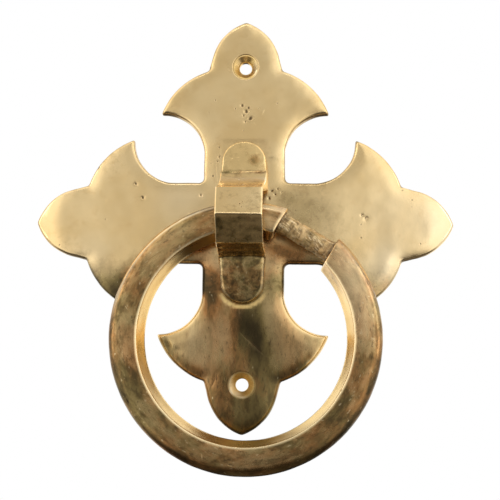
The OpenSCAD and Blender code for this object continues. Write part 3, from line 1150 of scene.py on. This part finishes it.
def foot_groove(points):
    """1 along the groove round the end of the lower foot."""
    x, z, _ = points.T
    line = np.exp(-((np.hypot(x - GROOVE_AT[0], z - GROOVE_AT[1]) - GROOVE_R) / 0.5) ** 2)
    return line * smooth((-z - 23) / 2) * (1 - on_back(points))


def plate_red(points):
    """Where the tarnish, the painted shadow and the painted reflections are redder, or greener."""
    # The patch at (13, -9.5) reddens the painted shadow under the neck, the one at (-34, -12) tints the
    # painted reflection beside the ring, and those at (21, 4) and (-46, -21) make the painted reflections
    # above the neck and along the left arm's lower edge greener.
    value = patches(
        points,
        (0.5, -8, -36, 8, 16), (0.6, -11, -22, 5, 10), (1.2, 13, -9.5, 12, 6), (1.0, -12, -18, 6, 10),
        (0.7, -15, -9, 7, 4), (0.6, -34, -12, 5, 7), (0.4, 15, -33, 5, 8), (-0.4, 4, -34, 5, 12),
        (-0.7, 21, 4, 13, 11), (-0.5, -46, -21, 6, 6))
    return value * (1 - on_back(points))


def plate_grime(points):
    """Dirt sits in the deeper pits."""
    value = np.zeros(len(points))
    for mx, mz, across, along, turn, depth in PLATE_MARKS:
        if depth >= 0.2 and mz > -30:
            value = np.maximum(value, min(1, depth * 2.6) * blob(points, mx, mz, across, along, turn))
    return value * (1 - on_back(points))


def bracket_patina(points):
    """The lower foot is dark, the loop's underside is painted dark as shade, the upper half is painted
    lighter as lit from above, and the upper foot has a stain and a painted dark line along its crease.
    """
    _, z, height = points.T
    low = smooth((-z - 8) / 3) * smooth((5.5 - height) / 2)
    # Painted shade: the downward-facing underside of the loop, below the nose.
    painted_underside_shade = smooth((NOSE[0] - 0.5 - z) / 1) * smooth((height - 12.5) / 1.5)
    value = 1.06 * low + 1.2 * blob(points, 3.4, 20.6, 1.9, 1.7) + 0.35 * smooth((z - 13) / 3)
    # A painted dark line along the crease where the upper foot meets the loop, and painted light on the
    # upper half, as lit from above.
    value += 0.70 * np.exp(-((z - 16.5) / 0.7) ** 2) - 0.25 * smooth((z + 0.5) / 1)
    return np.maximum(value, 0.72 * painted_underside_shade)


def bracket_ridge(points):
    """The upper foot's edges are hardly worn."""
    return 0.8 - 0.6 * smooth((points[:, 1] - 1) / 2)


def bracket_groove(points):
    """The corners of the hollow above the loop are hardly darkened."""
    return 1 - 0.9 * smooth((points[:, 1] - 12) / 2)


def bracket_drilled(points):
    """The lower knee is filed clean, and the upper foot a little."""
    z, height = points[:, 1], points[:, 2]
    knee = 0.5 * smooth((-z - 8.6) / 0.6) * smooth((13.6 - height) / 0.5) * smooth((height - 4.6) / 0.8)
    return knee + 0.25 * smooth((z - 16) / 2)


def bracket_polished(points):
    """Painted light on the upward-facing hollow between the upper foot and the loop."""
    z, height = points[:, 1], points[:, 2]
    return 0.6 * smooth((z - 9.4) / 0.5) * smooth((13.9 - height) / 0.4) * smooth((height - 4.5) / 2)


def bracket_red(points):
    spots = patches(points, (0.7, -4.5, -17.5, 3, 6), (0.7, 3.4, 20.6, 3, 3))
    return 0.3 * smooth((points[:, 1] - 13) / 3) + spots - 0.1


def ring_patina(points):
    """The right side is painted lighter, as lit from the right: painted light. A worn line on the outer edge
    is lighter too, the part by the neck carries a painted highlight, and the inner wall beside the neck is
    painted dark as shade.
    """
    x, z, height = points.T
    angle, radius = ring_polar(points)
    # Painted light: the right side, above the bottom, is painted lighter as lit from the right.
    painted_light_side = smooth((x - 12) / 20) * smooth((z + 50) / 22)
    face = smooth((height - RING_AXIS_H + 1.0) / 2)
    value = 0.98 - 0.46 * painted_light_side + 0.28 * smooth((radius - RING_OUTER + OUTER_ROUND) / 1.5)
    value += patches(
        points,
        (-0.45, 9.5, -1.5, 4, 5), (-0.30, -27, -10, 10, 12), (0.16, 29, -66, 9, 9), (-0.16, -3, -78, 14, 8),
        (-0.12, -30, -67, 9, 9), (-0.14, -41, -28, 8, 16), (-0.16, -27, -6, 10, 8))
    # Lighter on the worn line, and a painted highlight on the part by the neck.
    value -= ring_line(points) + 0.7 * ring_stub_highlight(points)
    inner = ring_inner(points)
    # The back half gets a fixed tone, and the inner wall beside the neck is painted dark: painted shade.
    value = (value * face + 0.5 * (1 - face)) * (1 - inner) + 0.7 * inner * by_neck(angle)
    return np.where(ring_raw(points) > 0, 0.60, value)


def by_neck(angle):
    """1 beside the neck, falling to 0 further round the ring."""
    return smooth((abs(angle) - math.pi + 0.8) / 0.4)


def ring_line(points):
    """1 on a worn line along the outer edge, at the upper left."""
    radius = ring_polar(points)[1]
    line = np.exp(-((radius - RING_OUTER + 0.9) / 0.35) ** 2) * smooth((points[:, 2] - RING_AXIS_H) / 1)
    return 0.7 * line * smooth((points[:, 1] + 36) / 12) * smooth(-points[:, 0] / 5)


def ring_inner(points):
    """1 on the wall that faces the middle of the ring."""
    return smooth((RING_INNER + INNER_BEVEL + 0.2 - ring_polar(points)[1]) / 0.5)


def by_axis(points):
    """Place along the neck's axis, and out from the ring's centre towards the neck."""
    dx, dz = points[:, 0] - RING_CENTRE[0], points[:, 1] - RING_CENTRE[1]
    c, s = math.cos(NECK_ANGLE), math.sin(NECK_ANGLE)
    return dx * c - dz * s, dx * s + dz * c


def ring_polar(points):
    """Angle round the ring, which is -pi and pi at the neck, and distance from the centre."""
    along, out = by_axis(points)
    return np.arctan2(along, -out), np.hypot(along, out)


def ring_stub_highlight(points):
    """1 along the top and end of the short piece between the bracket and the neck: a painted highlight."""
    along, out = by_axis(points)
    rim = smooth((np.hypot(along, out) - RING_OUTER + 2.8) / 0.8)
    end = np.exp(-((along + NECK_HALF + 0.45) / 0.45) ** 2)
    here = smooth((points[:, 0] - 3) / 3) * smooth((20 - points[:, 0]) / 3) * (along < -NECK_HALF)
    return np.maximum(rim, end) * here * smooth((points[:, 2] - RING_AXIS_H) / 2)


def ring_polished(points):
    """Paler along the worn line, with painted light on the right side and a painted highlight on the part by
    the neck.
    """
    front = smooth((points[:, 2] - RING_AXIS_H) / 2)
    # Painted light on the right side of the front.
    pale_patches = 0.15 * front * blob(points, 36, -16, 7, 16)
    return 0.5 * ring_line(points) + pale_patches + 0.12 * ring_stub_highlight(points)


def ring_red(points):
    """The neck is greener than the rest."""
    return -0.35 * ring_raw(points)


def ring_drilled(points):
    """The inner wall is rubbed clean, but not beside the neck, where it keeps its painted shade."""
    return 0.8 * ring_inner(points) * (1 - ring_raw(points)) * (1 - by_neck(ring_polar(points)[0]))


def ring_place(points):
    """Where the material's noise is read: drawn out along the ring."""
    angle, radius = ring_polar(points)
    return np.column_stack([radius, 18 * angle, points[:, 2]])


def ring_ridge(points):
    """Only the front edge of the inner wall is worn bright."""
    return 0.3 + 0.7 * smooth((RING_INNER + INNER_BEVEL + 1.2 - ring_polar(points)[1]) / 0.5)


def ring_grime(points):
    """Dirt sits in the corners at both ends of the neck."""
    along = by_axis(points)[0]
    return 0.8 * ring_raw(points) * np.exp(-((NECK_HALF - abs(along)) / 0.9) ** 2)


def ring_raw(points):
    """1 on the rough neck between the shoulders."""
    along, out = by_axis(points)
    return ((abs(along) < NECK_HALF - 0.05) & (out > 0)).astype(float)


make_world()
softbox("key_light", (-0.12, -0.80, 0.95), 0.55, 0.14, 0.8)
softbox("left_light", (-1.0, -0.45, 0.25), 0.4, 0.9, 2.2)
softbox("right_light", (1.0, -0.45, 0.25), 0.4, 0.9, 2.2)
make_floor()
make_camera()

plate_brass = brass("cast_brass", 0.20, -0.22, 0.16, 0.13, 0.0, 0.22)
bracket_brass = brass("bracket_brass", 0.20, -0.10, 0.50, 0.40, 0.03, 0.10)
ring_brass = brass("worn_brass", 0.21, 0.0, 0.26, 0.22, 0.04, 0.50)
screw_steel = steel("screw_steel")

finish_piece(make_backplate(), "plate", "backplate", "plate", plate_brass,
             place=plate_place, patina=plate_patina, red=plate_red, grime=plate_grime,
             drilled=plate_drilled, ridge=plate_ridge, polished=plate_polished)
finish_piece(make_bracket(), "plate", "bracket", "bracket", bracket_brass,
             patina=bracket_patina, red=bracket_red, ridge=bracket_ridge,
             groove=bracket_groove, polished=bracket_polished, drilled=bracket_drilled)
finish_piece(make_ring(), "ring", "ring", "ring", ring_brass,
             place=ring_place, patina=ring_patina, red=ring_red, grime=ring_grime, raw=ring_raw,
             ridge=ring_ridge, polished=ring_polished, drilled=ring_drilled)
for screw_name, screw_side in (("bracket_screw_top", 1), ("bracket_screw_bottom", -1)):
    screw = make_screw(screw_name + "_slotted", screw_side)
    finish_piece(screw, "plate", screw_name, "screws", screw_steel)

bpy.context.scene.view_settings.view_transform = "Standard"
